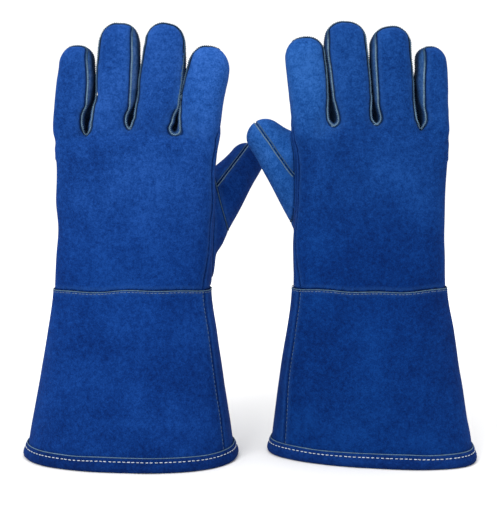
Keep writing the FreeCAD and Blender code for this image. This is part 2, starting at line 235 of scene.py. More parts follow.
class Glove:
    """Where a glove's parts are, in its own frame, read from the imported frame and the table."""

    def __init__(self, side):
        self.side = side
        design = GLOVES[side]
        self.mirror = design["mirror"]
        self.joints = {j["name"]: j for j in frame["joints"]}
        wrist = np.array(self.joints[f"{side}_wrist_bend"]["pos_m"]) * 1000.0
        self.place = np.array([wrist[0] - self.mirror * design["wrist_shift"], wrist[1], 0.0])
        self.section = curve_table(design["body"])
        self.stalls = {name: self.read_stall(name) for name in FINGERS}
        self.thumb_chains = [(np.array(a), np.array(b)) for a, b in design["thumb"]]
        self.thumb_hinge = self.local(np.array([self.joints[f"{side}_thumb_bend"]["pos_m"]]) * 1000.0)[0]
        self.thumb_seam, self.wing_seam = design["thumb_seam"], design["wing_seam"]
        self.shape, self.worn_by, self.hem_slope = design["stalls"], design["worn"], design["hem_slope"]
        webs = [(self.between(a, b), design["web"][a]) for a, b in zip(FINGERS, FINGERS[1:])]
        self.webs = np.array(sorted(webs)).T

    def between(self, one, other):
        """Where across the hand the crotch between two stalls is."""
        a, b = self.stalls[one], self.stalls[other]
        return 0.5 * (a["hinge"][0] - HINGE_UP * a["up"][0] - a["half"]
                      + b["hinge"][0] - HINGE_UP * b["up"][0] + b["half"])

    def local(self, p):
        return (p - self.place) * (self.mirror, 1.0, 1.0)

    def row(self, p):
        """Points of the glove's frame, in metres in the row frame."""
        return (p * (self.mirror, 1.0, 1.0) + self.place) / 1000.0

    def read_stall(self, name):
        """A stall's hinge, directions and size, from its joint and its CAD pieces."""
        joint = self.joints[f"{self.side}_{name}_bend"]
        hinge = self.local(np.array([joint["pos_m"]]) * 1000.0)[0]
        up = np.cross((0.0, 1.0, 0.0), joint["axis"]) * (self.mirror, 1.0, 1.0)
        out = np.array([up[2], 0.0, -up[0]])
        corners = []
        for piece in ("back", "palm", "sides"):
            mesh = frame["nodes"][f"{self.side}_{name}_{piece}"].data
            co = np.empty(len(mesh.vertices) * 3, np.float32)
            mesh.vertices.foreach_get("co", co)
            corners.append(self.local(co.reshape(-1, 3) * 1000.0))
        q = np.concatenate(corners) - hinge
        across, along = q @ out, q @ up
        return {"hinge": hinge, "up": up, "out": out, "half": (across.max() - across.min()) / 2,
                "top": along.max()}

    def in_stall(self, name, p):
        """Places across a stall, towards the thumb, and along it from its hinge."""
        stall = self.stalls[name]
        q = p - stall["hinge"]
        return q @ stall["out"], q @ stall["up"]

    def section_at(self, z):
        """The body's section at a height: half across, half deep, shift, turn, squareness."""
        fine, values = self.section
        return [np.interp(z, fine, values[:, i]) for i in range(values.shape[1])]

    # Skins: each is zero on the leather and negative inside it.

    def body(self, p):
        half, deep, shift, turn, n = self.section_at(p[:, 2])
        turn = np.radians(turn)
        x, y = p[:, 0] - shift, p[:, 1]
        u = (x * np.cos(turn) + y * np.sin(turn)) / half
        v = (y * np.cos(turn) - x * np.sin(turn)) / deep
        top = np.interp(p[:, 0], *self.webs) + PALM_WEB * smooth(p[:, 1], -1.0, 7.0)
        w = np.maximum(p[:, 2] - (top - BODY_CAP), 0.0) / BODY_CAP
        return pillow(u, v, w, half, deep, BODY_CAP, n, 2.2)

    def fuller(self, name, s, t):
        """How much fuller a stall is than its CAD width."""
        thumb, little = self.shape[name][:2]
        share = smooth(t, -5.0, 45.0)
        low, high = [np.where(s > 0, *ends) for ends in zip(thumb, little)]
        full = low + (high - low) * share
        top = self.stalls[name]["top"]
        return full - np.maximum(full, 0.0) * 0.5 * smooth(t, top - 30.0, top - 6.0)

    def full_width(self, name, s, t):
        stall = self.stalls[name]
        half = stall["half"] - 0.5 * smooth(t, 0, stall["top"]) - 5.0 * smooth(-t, *STALL_NARROWS)
        return half + self.fuller(name, s, t)

    def half_width(self, name, s, t, depth, alone):
        """A stall's half width. Next to a neighbour it fills out only above the crotch, and most on the
        palm's side, where the two touch."""
        grow = self.fuller(name, s, t)
        half = self.full_width(name, s, t) - grow
        outer = (s > 0) if name == "index" else (s < 0) if name == "little" else np.zeros(len(s), bool)
        if not alone:
            return half + np.where(outer, grow, 0.0)
        # The slack above the crotch: where stalls touch on the palm, and where they part on the back.
        thumb, little = self.shape[name][4]
        touch = TOUCH * smooth(depth, -2.0, 7.0) * (1 - smooth(t, 0.0, 24.0))
        back = np.where(s > 0, thumb, little) * smooth(-depth, -2.0, 5.0) * (1 - smooth(t, 0.0, 16.0))
        later = smooth(-depth, -4.0, 3.0)
        between = (grow + touch) * smooth(t, -19.0 + 5.0 * later, -8.0 + 10.0 * later)
        between = between - back * smooth(t, STALL_SPLIT, STALL_SPLIT + 5)
        return half + np.where(outer, grow, between)

    def stall(self, name, p, alone=False):
        stall = self.stalls[name]
        s, t = self.in_stall(name, p)
        half = self.half_width(name, s, t, p[:, 1], alone)
        cap = stall["half"] * 1.12
        deep = STALL_DEEP - 1.2 * smooth(t, 0, stall["top"]) - 3.0 * smooth(-t, *STALL_NARROWS)
        top = stall["top"] - 0.8
        rise = self.shape[name][2] * s / stall["half"] * smooth(t, top - 30.0, top - 10.0)
        w = np.maximum(t - rise - (top - cap), 0.0) / cap
        upper = pillow(s / half, p[:, 1] / deep, w, half, deep, cap, STALL_SQUARE, TIP_SQUARE)
        return np.maximum(upper, STALL_LOW - t)

    def fingers(self, p):
        return np.min([self.stall(name, p) for name in FINGERS], axis=0)

    def hand(self, p):
        return soft_min(self.body(p), self.fingers(p), WEB_SOFT)

    def thumb(self, p):
        nearest = None
        for root, tip in self.thumb_chains:
            along = tip[:3] - root[:3]
            q = p - root[:3]
            h = np.clip(q @ along / (along @ along), 0.0, 1.0)
            chain = np.linalg.norm(q - h[:, None] * along, axis=1) - (root[3] + (tip[3] - root[3]) * h)
            nearest = chain if nearest is None else soft_min(nearest, chain, 5.0)
        return nearest

    def skin(self, p):
        return soft_min(self.hand(p), self.thumb(p), THUMB_SOFT)

    def finger_skin(self, name):
        """The skin round one stall, without its neighbours, which it touches."""
        return lambda p: soft_min(self.body(p), self.stall(name, p, alone=True), WEB_SOFT)

    # Seams: each is zero on its line.

    def wrist_line(self, p):
        wave = 0.7 * np.sin(p[:, 0] / 17.0 + self.mirror) + 0.5 * np.sin(p[:, 0] / 7.0 + 2.0)
        return p[:, 2] - CUFF_TOP - wave

    def side_depth(self, p):
        """Where the side seam runs, front to back."""
        z = p[:, 2]
        slope = SIDE_SLOPE + (self.hem_slope - SIDE_SLOPE) * np.clip((WRIST - z) / WRIST, 0, 1)
        slope = slope - 0.11 * smooth(z, 134, 175) - 0.14 * smooth(z, 225, 300)
        return -slope * p[:, 0]

    def by_stall(self, p, value):
        """At each point, value(name, s, t) of the stall that it is nearest to for that stall's width."""
        near = np.full(len(p), np.inf)
        found = np.zeros(len(p))
        for name in FINGERS:
            s, t = self.in_stall(name, p)
            rel = np.abs(s) / self.stalls[name]["half"]
            found = np.where(rel < near, value(name, s, t), found)
            near = np.minimum(rel, near)
        return found

    def side_line(self, p):
        """Negative on the strip that is sewn in between the stalls. It is a band along the side seam,
        and reaches onto the back of the hand where a stall is turned so that its side shows."""
        front = p[:, 1] < self.side_depth(p)
        below_web = np.maximum(np.interp(p[:, 0], *self.webs) + 4.0 - p[:, 2], 0.0)

        def strip(name, s, t):
            stall = self.stalls[name]
            rel = s / stall["half"]
            width = FOURCHETTE - 4.0 * smooth(t, 5.0, stall["top"] - 6.0)
            width = width * smooth(t, -38.0, -31.0)
            if name == "index":
                width = width * (1 - smooth(rel, -0.2, 0.7))
            if name == "little":
                width = width * (1 - smooth(-rel, -0.2, 0.7))
            band = np.abs(p[:, 1] - self.side_depth(p)) - width
            shows = np.where(s > 0, *self.shape[name][3])
            edge = self.half_width(name, s, t, np.full(len(s), -9.0), True)
            ring = np.where(shows > 0, RING * (1 - smooth(t, -4.0, 10.0)), -1.0)
            line = np.minimum(self.full_width(name, s, t) - shows, edge - ring)
            turned = line - np.abs(s) + 0.12 * below_web**2
            return np.where(front, np.minimum(band, turned), band)

        return self.by_stall(p, strip)

    def worn(self, p):
        """How much paler the leather is painted, 0 to 1: towards the fingertips as painted light from above,
        and most on the index finger.
        """
        fingers, index, thumb = self.worn_by
        s, t = self.in_stall("index", p)
        on_index = (1 - smooth(np.abs(s) / self.stalls["index"]["half"], 1.0, 1.4)) * smooth(t, -50.0, 5.0)
        worn = fingers * (0.6 * smooth(p[:, 2], 150.0, 245.0) + 0.4 * smooth(p[:, 2], 235.0, 300.0))
        worn = worn + (index - worn) * on_index
        return worn + (thumb - worn) * smooth(-self.root_line(p), -1.0, 4.0)

    def lit_edge(self, p):
        """How pale the raw edge along a stall is: paler leather, brightened as a painted highlight where the
        edge faces the front; least at the tip and where the edge turns away.
        """
        def pale(name, s, t):
            stall = self.stalls[name]
            thumb, little = [min(1.0, max(0.15, shows / 2.5)) for shows in self.shape[name][3]]
            side = little + (thumb - little) * smooth(s / stall["half"], -0.3, 0.3)
            value = 1.0 + (side - 1.0) * smooth(t, -14.0, 4.0)
            return value * (1 - 0.8 * smooth(t, stall["top"] - 20.0, stall["top"] - 8.0))

        return self.by_stall(p, pale)

    def behind_side(self, p):
        """Distance from the side seam towards the back of the hand."""
        return self.side_depth(p) - p[:, 1]

    def standing_line(self, p, seam):
        (x, z), (nx, nz) = seam
        return (p[:, 0] - x) * nx + (p[:, 2] - z) * nz

    def thumb_line(self, p):
        return self.standing_line(p, self.thumb_seam)

    def wing_line(self, p):
        return self.standing_line(p, self.wing_seam)

    def root_line(self, p):
        return self.thumb(p) - self.hand(p)

    def in_thumb(self, p):
        return self.root_line(p) < 0


def gradient(field, p, step=0.25):
    out = np.empty_like(p)
    for axis in range(3):
        d = np.zeros(3)
        d[axis] = step
        out[:, axis] = (field(p + d) - field(p - d)) / (2 * step)
    return out


def settle(field, p, rounds=4):
    """Moves points onto the field's zero surface."""
    for _ in range(rounds):
        g = gradient(field, p)
        p = p - g * (field(p) / np.maximum((g * g).sum(1), 0.05))[:, None]
    return p


def band_values(field, low, count, step, chunk=400000):
    """The field on a grid, exact near its surface and only a sign elsewhere."""
    coarse = 4
    counts = [int(math.ceil((c - 1) / coarse)) + 1 for c in count]
    axes = [low[i] + step * coarse * np.arange(counts[i]) for i in range(3)]
    rough = field(np.stack(np.meshgrid(*axes, indexing="ij"), -1).reshape(-1, 3)).reshape(counts)
    for axis in range(3):
        rough = np.repeat(rough, coarse, axis=axis)
    shift = coarse // 2
    rough = np.pad(rough, [(shift, coarse)] * 3, mode="edge")[: count[0], : count[1], : count[2]]
    values = rough.copy()
    near = np.argwhere(np.abs(rough) < coarse * step * 1.9)
    for start in range(0, len(near), chunk):
        part = near[start:start + chunk]
        values[tuple(part.T)] = field(part * step + low)
    return values


CORNERS = np.array([(i, j, k) for i in (0, 1) for j in (0, 1) for k in (0, 1)])
CELL_EDGES = [(a, b) for a in range(8) for b in range(a + 1, 8) if np.abs(CORNERS[a] - CORNERS[b]).sum() == 1]


def surface_net(values, low, step):
    """Vertices and quads of the zero surface of a grid, one vertex in each cell it passes."""
    sx, sy, sz = (s - 1 for s in values.shape)
    parts = [values[i:i + sx, j:j + sy, k:k + sz] for i, j, k in CORNERS]
    inside = sum((part < 0).astype(np.int8) for part in parts)
    mixed = (inside > 0) & (inside < 8)
    index = np.full(mixed.shape, -1, np.int64)
    index[mixed] = np.arange(mixed.sum())
    corner = [part[mixed] for part in parts]
    place, hits = np.zeros((mixed.sum(), 3)), np.zeros(mixed.sum())
    for a, b in CELL_EDGES:
        crossed = (corner[a] < 0) != (corner[b] < 0)
        t = np.where(crossed, corner[a] / np.where(crossed, corner[a] - corner[b], 1.0), 0.0)
        place += np.where(crossed[:, None], CORNERS[a] + t[:, None] * (CORNERS[b] - CORNERS[a]), 0.0)
        hits += crossed
    cells = np.argwhere(mixed)
    points = (cells + place / hits[:, None]) * step + low
    quads = []
    for axis in range(3):
        one, two = [a for a in range(3) if a != axis]
        head, tail = [slice(None)] * 3, [slice(None)] * 3
        head[axis], tail[axis] = slice(0, -1), slice(1, None)
        a, b = values[tuple(head)] < 0, values[tuple(tail)] < 0
        at = np.argwhere(a != b)
        keep = ((at[:, one] > 0) & (at[:, one] < index.shape[one])
                & (at[:, two] > 0) & (at[:, two] < index.shape[two]))
        at = at[keep]
        first = np.eye(3, dtype=int)[one]
        second = np.eye(3, dtype=int)[two]
        ring = [index[tuple((at - d).T)] for d in (first * 0, first, first + second, second)]
        quad = np.stack(ring, 1)
        outward = a[tuple(at.T)]
        if axis == 1:
            outward = ~outward
        quads.append(np.where(outward[:, None], quad, quad[:, ::-1]))
    quads = np.concatenate(quads)
    return points, quads[(quads >= 0).all(1)]


def vertex_normals(p, quads):
    n = np.cross(p[quads[:, 2]] - p[quads[:, 0]], p[quads[:, 3]] - p[quads[:, 1]])
    total = np.zeros_like(p)
    for i in range(4):
        np.add.at(total, quads[:, i], n)
    return unit(total)


def mesh_field(field, low, high, step):
    low, high = np.array(low, float), np.array(high, float)
    count = [int(math.ceil((high[i] - low[i]) / step)) + 1 for i in range(3)]
    values = band_values(field, low, count, step)
    points, quads = surface_net(values, low, step)
    return settle(field, points), quads


# ---------------------------------------------------------------- pieces

PARTS = ("cuff", "hand", "thumb") + FINGERS
REGIONS = ("cuff_back", "cuff_palm", "back", "palm", "strip", "wing", "thumb_outer", "thumb_inner")
CUFF_BACK, CUFF_PALM, BACK, PALM, STRIP, WING, THUMB_OUTER, THUMB_INNER = range(len(REGIONS))
SEAMS = {
    # seam: which regions meet there
    "wrist": (("cuff_back", "back"), ("cuff_palm", "palm"), ("cuff_back", "palm"), ("cuff_palm", "back")),
    "cuff_side": (("cuff_back", "cuff_palm"),),
    "hand_side": (("back", "palm"),),
    "stall": (("back", "strip"), ("palm", "strip")),
    "thumb": (("thumb_outer", "thumb_inner"),),
    "wing": (("wing", "thumb_outer"), ("wing", "thumb_inner")),
    "root": (("back", "wing"), ("palm", "wing"), ("back", "thumb_outer"), ("back", "thumb_inner"),
             ("palm", "thumb_outer"), ("palm", "thumb_inner")),
}


def region_of(glove, p):
    """The leather piece that each point is on, as an index into REGIONS."""
    rear = p[:, 1] > glove.side_depth(p)
    cuff = glove.wrist_line(p) < 0
    region = np.where(rear, PALM, BACK)
    region = np.where((glove.side_line(p) < 0) & ~cuff, STRIP, region)
    thumb = glove.in_thumb(p) & ~cuff
    wing = glove.wing_line(p) < 0
    outer = glove.thumb_line(p) > 0
    region = np.where(thumb, np.where(wing, WING, np.where(outer, THUMB_OUTER, THUMB_INNER)), region)
    return np.where(cuff, np.where(rear, CUFF_PALM, CUFF_BACK), region)


def owner_of(glove, p, region=None):
    """The moving part that each point belongs to, as an index into PARTS."""
    def finger_or_hand(name, s, t):
        return np.where(t > STALL_SPLIT, PARTS.index(name), PARTS.index("hand"))

    region = region_of(glove, p) if region is None else region
    owner = np.where(region <= CUFF_PALM, PARTS.index("cuff"), PARTS.index("hand"))
    stalls = glove.by_stall(p, finger_or_hand).astype(int)
    owner = np.where((region >= BACK) & (region <= STRIP), stalls, owner)
    return np.where(region >= THUMB_OUTER, PARTS.index("thumb"), owner)


def rig(obj, glove, part):
    """Bakes a piece's placement into its mesh. Where its part would bend against the one below is worked out,
    but not used.
    """
    side = glove.side
    if part in ("cuff", "hand"):
        x, y = glove.row(np.array([[0.0, 0.0, 0.0]]))[0][:2]
        start, end = [(x, y, z / 1000.0) for z in WRIST_BEND]
    elif part == "thumb":
        along, *ends = GLOVES[side]["thumb_bend"]
        start, end = [glove.row((glove.thumb_hinge + np.array(along) * d)[None])[0] for d in ends]
    else:
        stall = glove.stalls[part]
        start, end = [glove.row((stall["hinge"] + stall["up"] * d)[None])[0] for d in (-STALL_BEND, STALL_BEND)]
    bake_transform(obj)
    return obj


def make_object(name, points, quads, material, normals=None, attributes=None):
    """A piece with its material. Attributes are numbers that the material reads."""
    mesh = bpy.data.meshes.new(name)
    mesh.vertices.add(len(points))
    mesh.vertices.foreach_set("co", np.asarray(points, np.float32).ravel())
    mesh.loops.add(quads.size)
    mesh.loops.foreach_set("vertex_index", quads.ravel().astype(np.int32))
    mesh.polygons.add(len(quads))
    mesh.polygons.foreach_set("loop_start", np.arange(0, quads.size, 4, dtype=np.int32))
    mesh.update(calc_edges=True)
    mesh.validate()
    mesh.polygons.foreach_set("use_smooth", np.ones(len(mesh.polygons), bool))
    rest = mesh.attributes.new("rest", "FLOAT_VECTOR", "POINT")
    rest.data.foreach_set("vector", np.asarray(points, np.float32).ravel())
    for key, values in (attributes or {}).items():
        layer = mesh.attributes.new(key, "FLOAT", "POINT")
        layer.data.foreach_set("value", np.asarray(values, np.float32))
    mesh.materials.append(material)
    if normals is not None:
        mesh.normals_split_custom_set_from_vertices(normals.tolist())
    obj = bpy.data.objects.new(name, mesh)
    bpy.context.scene.collection.objects.link(obj)
    return obj


def oriented(glove, faces):
    """Faces of the glove's own frame as they run in the row frame, where a mirrored glove is inside out."""
    return faces[:, ::-1] if glove.mirror < 0 else faces


def lumps(glove, p):
    """How far the skin stands out of its smooth shape: slack leather, and puckers along seams."""
    seed = 11 if glove.mirror > 0 else 23
    slack = 0.9 * noise(p, 34.0, seed) + 0.4 * noise(p * (1, 1, 0.7), 13.0, seed + 1)
    wrist = glove.wrist_line(p)
    step = (0.9 * np.exp(-np.maximum(-wrist, 0) / 16.0) * (wrist < 0)
            - 0.4 * np.exp(-np.maximum(wrist, 0) / 7.0) * (wrist >= 0))
    pucker = 0.35 * noise(p * (1, 1, 0.4), 6.5, seed + 2) * np.exp(-np.abs(wrist) / 8.0)
    high = (p[:, 2] > WRIST) & ~glove.in_thumb(p)
    side = np.where(high, np.abs(glove.side_line(p)), 99.0)
    pucker = pucker + 0.3 * noise(p, 5.0, seed + 3) * np.exp(-side / 5.0)
    return slack * smooth(p[:, 2], 2.0, 30.0) + step + pucker


# How deep the leather is pulled in at each seam, and over what distance.
GROOVES = {"wrist": (0.9, 0.9), "side": (1.1, 1.0), "thumb": (1.1, 1.0), "wing": (0.5, 0.8), "root": (0.8, 1.2)}


def seam_distances(glove, p):
    """Distance to each seam where it is sewn, and far where it isn't."""
    far = 99.0
    cuff = glove.wrist_line(p) < 0
    thumb = glove.in_thumb(p)
    wing = glove.wing_line(p)
    return {
        "wrist": np.abs(glove.wrist_line(p)),
        "side": np.where(thumb & ~cuff, far, np.abs(glove.side_line(p))),
        "thumb": np.where(thumb & (wing > 0), np.abs(glove.thumb_line(p)), far),
        "wing": np.where(thumb, np.abs(wing), far),
        "root": np.where(cuff, far, np.abs(glove.root_line(p))),
    }


def snap(skin, p, line, mask):
    """Moves the vertices nearest to a seam onto it, so that it is crisp."""
    q = p[mask]
    if len(q) == 0:
        return p
    for _ in range(3):
        g = gradient(line, q)
        n = unit(gradient(skin, q))
        g = g - n * (g * n).sum(1, keepdims=True)
        move = g * (line(q) / np.maximum((g * g).sum(1), 0.1))[:, None]
        size = np.linalg.norm(move, axis=1, keepdims=True)
        q = settle(skin, q - move * np.minimum(1.0, GRID / np.maximum(size, 1e-9)), 1)
    p = p.copy()
    p[mask] = q
    return p


def chains(edges):
    """Edges sorted into runs of vertices; a closed run repeats its first vertex."""
    links = {}
    for a, b in edges:
        links.setdefault(a, []).append(b)
        links.setdefault(b, []).append(a)
    left = {tuple(sorted(e)) for e in edges}
    ends = [v for v in links if len(links[v]) != 2] + list(links)
    runs = []
    for start in ends:
        for step in links[start]:
            if tuple(sorted((start, step))) not in left:
                continue
            run = [start, step]
            left.discard(tuple(sorted((start, step))))
            while len(links[run[-1]]) == 2:
                ahead = [v for v in links[run[-1]] if tuple(sorted((run[-1], v))) in left]
                if not ahead:
                    break
                left.discard(tuple(sorted((run[-1], ahead[0]))))
                run.append(ahead[0])
            runs.append(run)
    return runs


def run_length(points):
    """How far along a line each of its points is."""
    return np.concatenate([[0], np.cumsum(np.linalg.norm(np.diff(points, axis=0), axis=1))])


def resample(points, spacing):
    """Points spread evenly along a line."""
    length = run_length(points)
    count = max(2, int(round(length[-1] / spacing)) + 1)
    at = np.linspace(0, length[-1], count)
    return np.stack([np.interp(at, length, points[:, i]) for i in range(3)], 1)


def smooth_line(points, closed, rounds):
    for _ in range(rounds):
        if closed:
            body = points[:-1]
            body = 0.5 * body + 0.25 * (np.roll(body, 1, 0) + np.roll(body, -1, 0))
            points = np.concatenate([body, body[:1]])
        else:
            inner = 0.5 * points[1:-1] + 0.25 * (points[:-2] + points[2:])
            points = np.concatenate([points[:1], inner, points[-1:]])
    return points


def frames_along(points, normals, closed):
    """Unit directions along a line, away from the skin, and across."""
    ahead = np.roll(points, -1, 0) - np.roll(points, 1, 0)
    if closed:
        ahead[0] = ahead[-1] = points[1] - points[-2]
    else:
        ahead[0], ahead[-1] = points[1] - points[0], points[-1] - points[-2]
    t = unit(ahead)
    n = unit(normals - t * (normals * t).sum(1, keepdims=True))
    return t, n, np.cross(t, n)


def ring_quads(rows, sides):
    """The quads between rings of points that follow each other."""
    i, j = np.meshgrid(np.arange(rows - 1), np.arange(sides), indexing="ij")
    k = (j + 1) % sides
    return np.stack([i * sides + j, i * sides + k, (i + 1) * sides + k, (i + 1) * sides + j], -1).reshape(-1, 4)


def tube(points, normals, closed, radius, flat=1.0, sides=8):
    """A round or flattened piping along a line: (points, quads)."""
    _, n, b = frames_along(points, normals, closed)
    angle = np.linspace(0, 2 * np.pi, sides, endpoint=False)
    ring = (points[:, None] + radius[:, None, None] * (np.cos(angle)[None, :, None] * b[:, None]
            + flat * np.sin(angle)[None, :, None] * n[:, None]))
    return ring.reshape(-1, 3), ring_quads(len(points), sides)


def bead_template(sides=6):
    """One stitch of unit length and radius, as rings along x."""
    stations = np.array([(-0.5, 0.15), (-0.44, 0.72), (-0.25, 1.0), (0.25, 1.0), (0.44, 0.72), (0.5, 0.15)])
    angle = np.linspace(0, 2 * np.pi, sides, endpoint=False)
    co = np.array([(x, r * math.cos(a), r * math.sin(a)) for x, r in stations for a in angle])
    return co, ring_quads(len(stations), sides)


BEAD, BEAD_QUADS = bead_template()


def stitches(points, normals, closed, spacing, length, radius, lift, seed, lean=0.0):
    """Single stitches along a line: (points, quads). Each dips into the leather at its ends."""
    t, n, b = frames_along(points, normals, closed)
    run = run_length(points)
    rng = np.random.default_rng(seed)
    count = int(run[-1] // spacing)
    if count < 1:
        return None
    at = (np.arange(count) + 0.5) * run[-1] / count + rng.uniform(-0.12, 0.12, count) * spacing
    pick = lambda v: np.stack([np.interp(at, run, v[:, i]) for i in range(3)], 1)
    c, t, n, b = pick(points), unit(pick(t)), unit(pick(n)), unit(pick(b))
    turn = lean + rng.uniform(-0.10, 0.10, count)
    cos, sin = np.cos(turn)[:, None], np.sin(turn)[:, None]
    t, b = t * cos + b * sin, b * cos - t * sin
    size = length * rng.uniform(0.9, 1.08, count)
    x = BEAD[None, :, 0] * size[:, None]
    dip = -0.5 * radius * (2 * BEAD[None, :, 0]) ** 4
    up = BEAD[None, :, 2] * radius + dip + lift
    side = np.broadcast_to(BEAD[None, :, 1] * radius, x.shape)
    co = c[:, None] + x[..., None] * t[:, None] + side[..., None] * b[:, None] + up[..., None] * n[:, None]
    quads = (BEAD_QUADS[None] + (np.arange(count) * len(BEAD))[:, None, None]).reshape(-1, 4)
    return co.reshape(-1, 3), quads


class Bundle:
    """Collects small meshes of one part and material into one object, each with how pale it is."""

    def __init__(self):
        self.sets, self.count = [], 0

    def add(self, made, pale):
        if made is None:
            return
        co, quads = made
        pale = pale(co) if callable(pale) else np.full(len(co), pale)
        self.sets.append((co, quads + self.count, pale))
        self.count += len(co)

    def build(self, glove, name, material, slot):
        co, quads, pale = [np.concatenate(column) for column in zip(*self.sets)]
        return make_object(name, glove.row(co), oriented(glove, quads), material, attributes={"pale": pale})


# ---------------------------------------------------------------- materials

SPECULAR = 0.06
SHEEN_ROUGHNESS = 0.45


class Nodes:
    """A short way to lay out a material's nodes. Noise scales are per metre."""

    def __init__(self, name):
        self.material = bpy.data.materials.new(name)
        self.material.use_nodes = True
        self.tree = self.material.node_tree
        self.shader = self.tree.nodes["Principled BSDF"]

    def plug(self, target, source):
        """Links a socket to a node's output, or sets it to a value."""
        if isinstance(source, bpy.types.NodeSocket):
            self.tree.links.new(source, target)
        else:
            target.default_value = source

    def add(self, kind, links=(), **settings):
        node = self.tree.nodes.new(kind)
        for key, value in settings.items():
            setattr(node, key, value)
        for socket, source in dict(links).items():
            self.plug(node.inputs[socket], source)
        return node

    def rest(self):
        return self.add("ShaderNodeAttribute", attribute_name="rest").outputs["Vector"]

    def value(self, name):
        return self.add("ShaderNodeAttribute", attribute_name=name).outputs["Fac"]

    def noise(self, vector, scale, detail=3.0, roughness=0.55):
        links = {"Vector": vector, "Scale": scale, "Detail": detail, "Roughness": roughness}
        return self.add("ShaderNodeTexNoise", links).outputs["Fac"]

    def grey(self, level):
        return self.add("ShaderNodeCombineXYZ", {"X": level, "Y": level, "Z": level}).outputs["Vector"]

    def math(self, operation, a, b=0.0, c=0.0):
        node = self.add("ShaderNodeMath", operation=operation)
        for i, source in enumerate((a, b, c)):
            self.plug(node.inputs[i], source)
        return node.outputs[0]

    def span(self, value, low, high, to_low=0.0, to_high=1.0):
        links = {"Value": value, "From Min": low, "From Max": high, "To Min": to_low, "To Max": to_high}
        return self.add("ShaderNodeMapRange", links, interpolation_type="SMOOTHSTEP").outputs["Result"]

    def ramp(self, value, stops):
        node = self.add("ShaderNodeValToRGB", {"Fac": value})
        band = node.color_ramp
        while len(band.elements) < len(stops):
            band.elements.new(0.5)
        for element, (at, colour) in zip(band.elements, stops):
            element.position, element.color = at, (*colour, 1.0)
        return node.outputs["Color"]

    def mix(self, share, a, b, blend="MIX"):
        node = self.add("ShaderNodeMix", data_type="RGBA", blend_type=blend)
        for i, source in ((0, share), (6, a), (7, b)):
            self.plug(node.inputs[i], (*source, 1.0) if isinstance(source, tuple) else source)
        return node.outputs[2]

    def finish(self, colour, height, strength, distance, roughness, sheen=0.0, tint=(1, 1, 1)):
        bump = self.add("ShaderNodeBump", {"Height": height, "Strength": strength, "Distance": distance})
        settings = {
            "Normal": bump.outputs["Normal"], "Base Color": colour, "Roughness": roughness,
            "Specular IOR Level": SPECULAR, "Sheen Weight": sheen, "Sheen Roughness": SHEEN_ROUGHNESS,
            "Sheen Tint": (*tint, 1.0),
        }
        for socket, source in settings.items():
            self.plug(self.shader.inputs[socket], source)
        return self.material


# The layers of the suede's mottling: noise scale, detail and roughness, and share in the mix.
MOTTLING = {
    "blotch": (18.0, 2.0, 0.5, 0.26),
    "cloud": (75.0, 3.0, 0.6, 0.14),
    "grain": (300.0, 3.0, 0.65, 0.26),
    "nap": (800.0, 2.0, 0.7, 0.34),
}
DARKER, LIGHTER = (0.35, 0.52, 0.62), (2.6, 1.65, 1.42)
RUBBED = (0.020, 0.075, 0.24)


def times(colour, factors):
    return tuple(c * f for c, f in zip(colour, factors))


def suede(name, middle, paler_by=(1.0, 1.0, 1.0), sewn=True):
    """Brushed split leather: mottled dye, nap, rubbed edges along the seams, and painted shade deep in the
    gaps between the stalls. The third argument multiplies the colour where it is painted paler, as painted
    light towards the fingertips."""
    m = Nodes(name)
    rest = m.rest()
    layers = {key: m.noise(rest, *numbers[:3]) for key, numbers in MOTTLING.items()}
    mixed = 0.0
    for key, numbers in MOTTLING.items():
        mixed = m.math("MULTIPLY_ADD", layers[key], numbers[3], mixed)
    dark, light = times(middle, DARKER), times(middle, LIGHTER)
    colour = m.ramp(mixed, [(0.39, dark), (0.50, middle), (0.61, light)])
    height = m.math("MULTIPLY_ADD", layers["grain"], 0.8, layers["nap"])
    # Painted light: the colour is made paler towards the fingertips, and by its own amounts on the index finger
    # and the thumb.
    colour = m.mix(1.0, colour, m.mix(m.value("worn"), (1.0, 1.0, 1.0), paler_by), "MULTIPLY")
    if sewn:
        # Painted shade: the strip turns nearly black deep in the gaps between the stalls, where shade falls.
        gap_shade_colour, shade = tuple(c * 0.12 for c in middle), tuple(c * 0.2 for c in dark)
        colour = m.mix(m.math("MULTIPLY", m.value("gap_shade"), 0.85), colour, gap_shade_colour)
        seam = m.value("seam")
        ragged = m.math("MULTIPLY_ADD", m.noise(rest, 420.0, 2.0, 0.6), 1.6, m.math("SUBTRACT", seam, 0.8))
        rubbed = m.math("MULTIPLY", m.span(ragged, 0.8, 1.6), m.span(ragged, 1.6, 5.0, 1.0, 0.0))
        colour = m.mix(m.math("MULTIPLY", rubbed, 0.20), colour, RUBBED)
        colour = m.mix(m.span(seam, 0.2, 1.0, 0.7, 0.0), colour, shade)
    tint = tuple(min(1.0, c * 3.0) for c in light)
    return m.finish(colour, height, strength=0.5, distance=0.0006, roughness=0.95, sheen=0.03, tint=tint)


def pale_edge(name, dim, bright):
    """Cut and folded edges, and thread: dim or bright by how pale each place is; along the stalls the bright
    end is a painted highlight.
    """
    m = Nodes(name)
    rest = m.rest()
    cloud = m.noise(rest, 320.0, 3.0, 0.6)
    nap = m.noise(rest, 1500.0, 2.0, 0.7)
    shade = m.grey(m.math("MULTIPLY_ADD", nap, 0.7, cloud))
    colour = m.mix(1.0, m.mix(m.value("pale"), dim, bright), shade, "MULTIPLY")
    return m.finish(colour, nap, strength=0.6, distance=0.0004, roughness=0.9, sheen=0.03)


def fleece():
    """The lining: brushed cotton in small tufts."""
    m = Nodes("lining_fleece")
    rest = m.rest()
    tuft = m.noise(rest, 420.0, 4.0, 0.7)
    cloud = m.noise(rest, 60.0, 2.0, 0.5)
    mixed = m.math("MULTIPLY_ADD", cloud, 0.4, m.math("MULTIPLY", tuft, 0.6))
    colour = m.ramp(mixed, [(0.35, (0.34, 0.33, 0.30)), (0.65, (0.62, 0.60, 0.55))])
    return m.finish(colour, tuft, strength=0.8, distance=0.0012, roughness=0.95, sheen=0.2)


